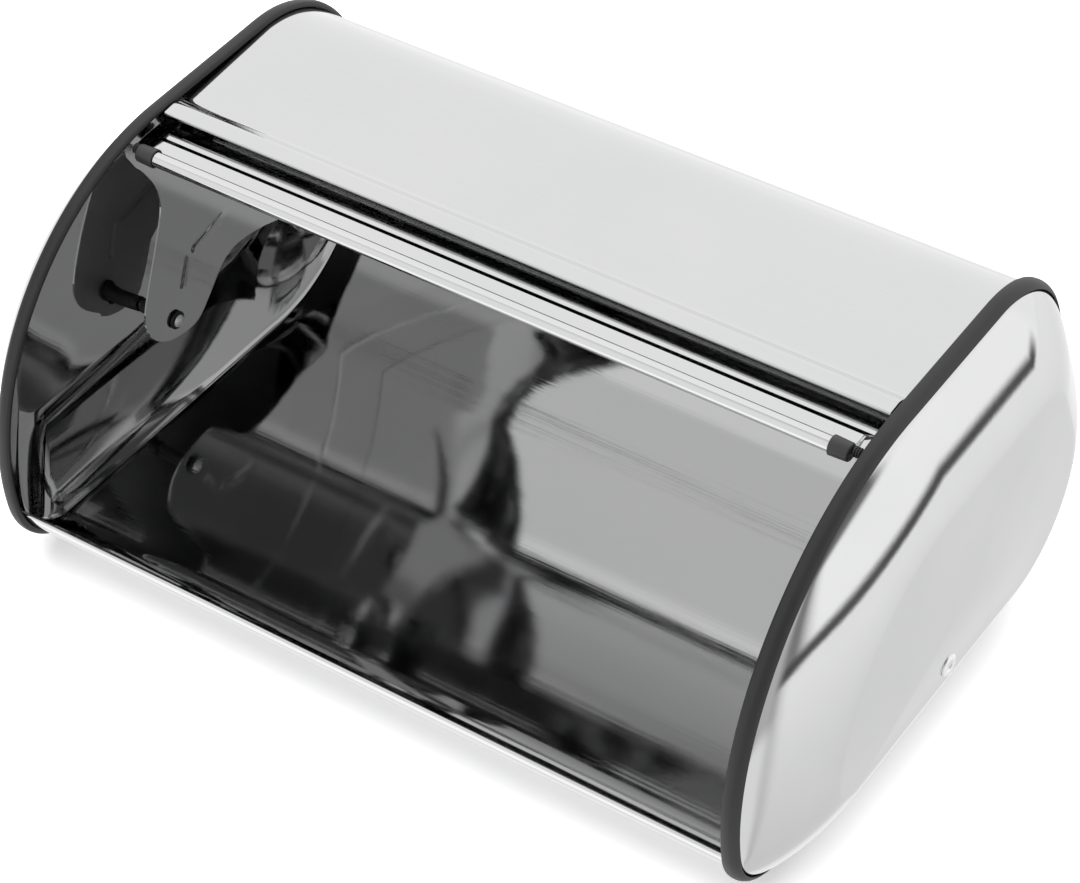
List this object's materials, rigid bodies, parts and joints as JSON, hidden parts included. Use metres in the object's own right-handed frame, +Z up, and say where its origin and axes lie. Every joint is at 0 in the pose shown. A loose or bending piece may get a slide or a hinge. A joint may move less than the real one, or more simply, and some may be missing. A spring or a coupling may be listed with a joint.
{
  "type": "roll top bread box",
  "caption": "Free-standing steel bread box with domed end caps and a quarter-round door that swings back under the top.",
  "frame": {"origin": "middle of the box's footprint on the surface that it stands on", "axes": "+Z up, +X to the right as seen from the mouth, -Y out of the mouth; the door is open at rest"},
  "size_m": [0.4336, 0.2751, 0.1822],
  "materials": {
    "polished_steel": "mirror polished stainless sheet",
    "drawn_steel": "polished drawn stainless, slightly hazy",
    "rivet_steel": "bright turned steel",
    "trim_rubber": "soft matte black",
    "foot_rubber": "matte black",
    "black_plastic": "moulded, fine grain",
    "bush_nylon": "black nylon, smooth"
  },
  "bodies": {
    "case": {"case_sheet": "polished_steel", "left_end_cap": "drawn_steel", "right_end_cap": "drawn_steel", "left_edge_trim": "trim_rubber", "right_edge_trim": "trim_rubber", "front_left_foot": "foot_rubber", "front_right_foot": "foot_rubber", "back_left_foot": "foot_rubber", "back_right_foot": "foot_rubber", "left_pivot_pin": "rivet_steel", "right_pivot_pin": "rivet_steel", "left_pivot_washer": "black_plastic", "right_pivot_washer": "black_plastic", "left_pivot_bush": "bush_nylon", "right_pivot_bush": "bush_nylon"},
    "door": {"door_sheet": "polished_steel", "door_pull_tube": "polished_steel", "left_pull_cap": "black_plastic", "right_pull_cap": "black_plastic", "left_pull_plug": "black_plastic", "right_pull_plug": "black_plastic", "left_door_side": "drawn_steel", "right_door_side": "drawn_steel"}
  },
  "joints": [
    {"name": "door_hinge", "type": "hinge", "parent": "case", "child": "door", "pos_m": [0, -0.00955, 0.0526], "axis": [1, 0, 0], "range_deg": [0, 85.5]}
  ]
}
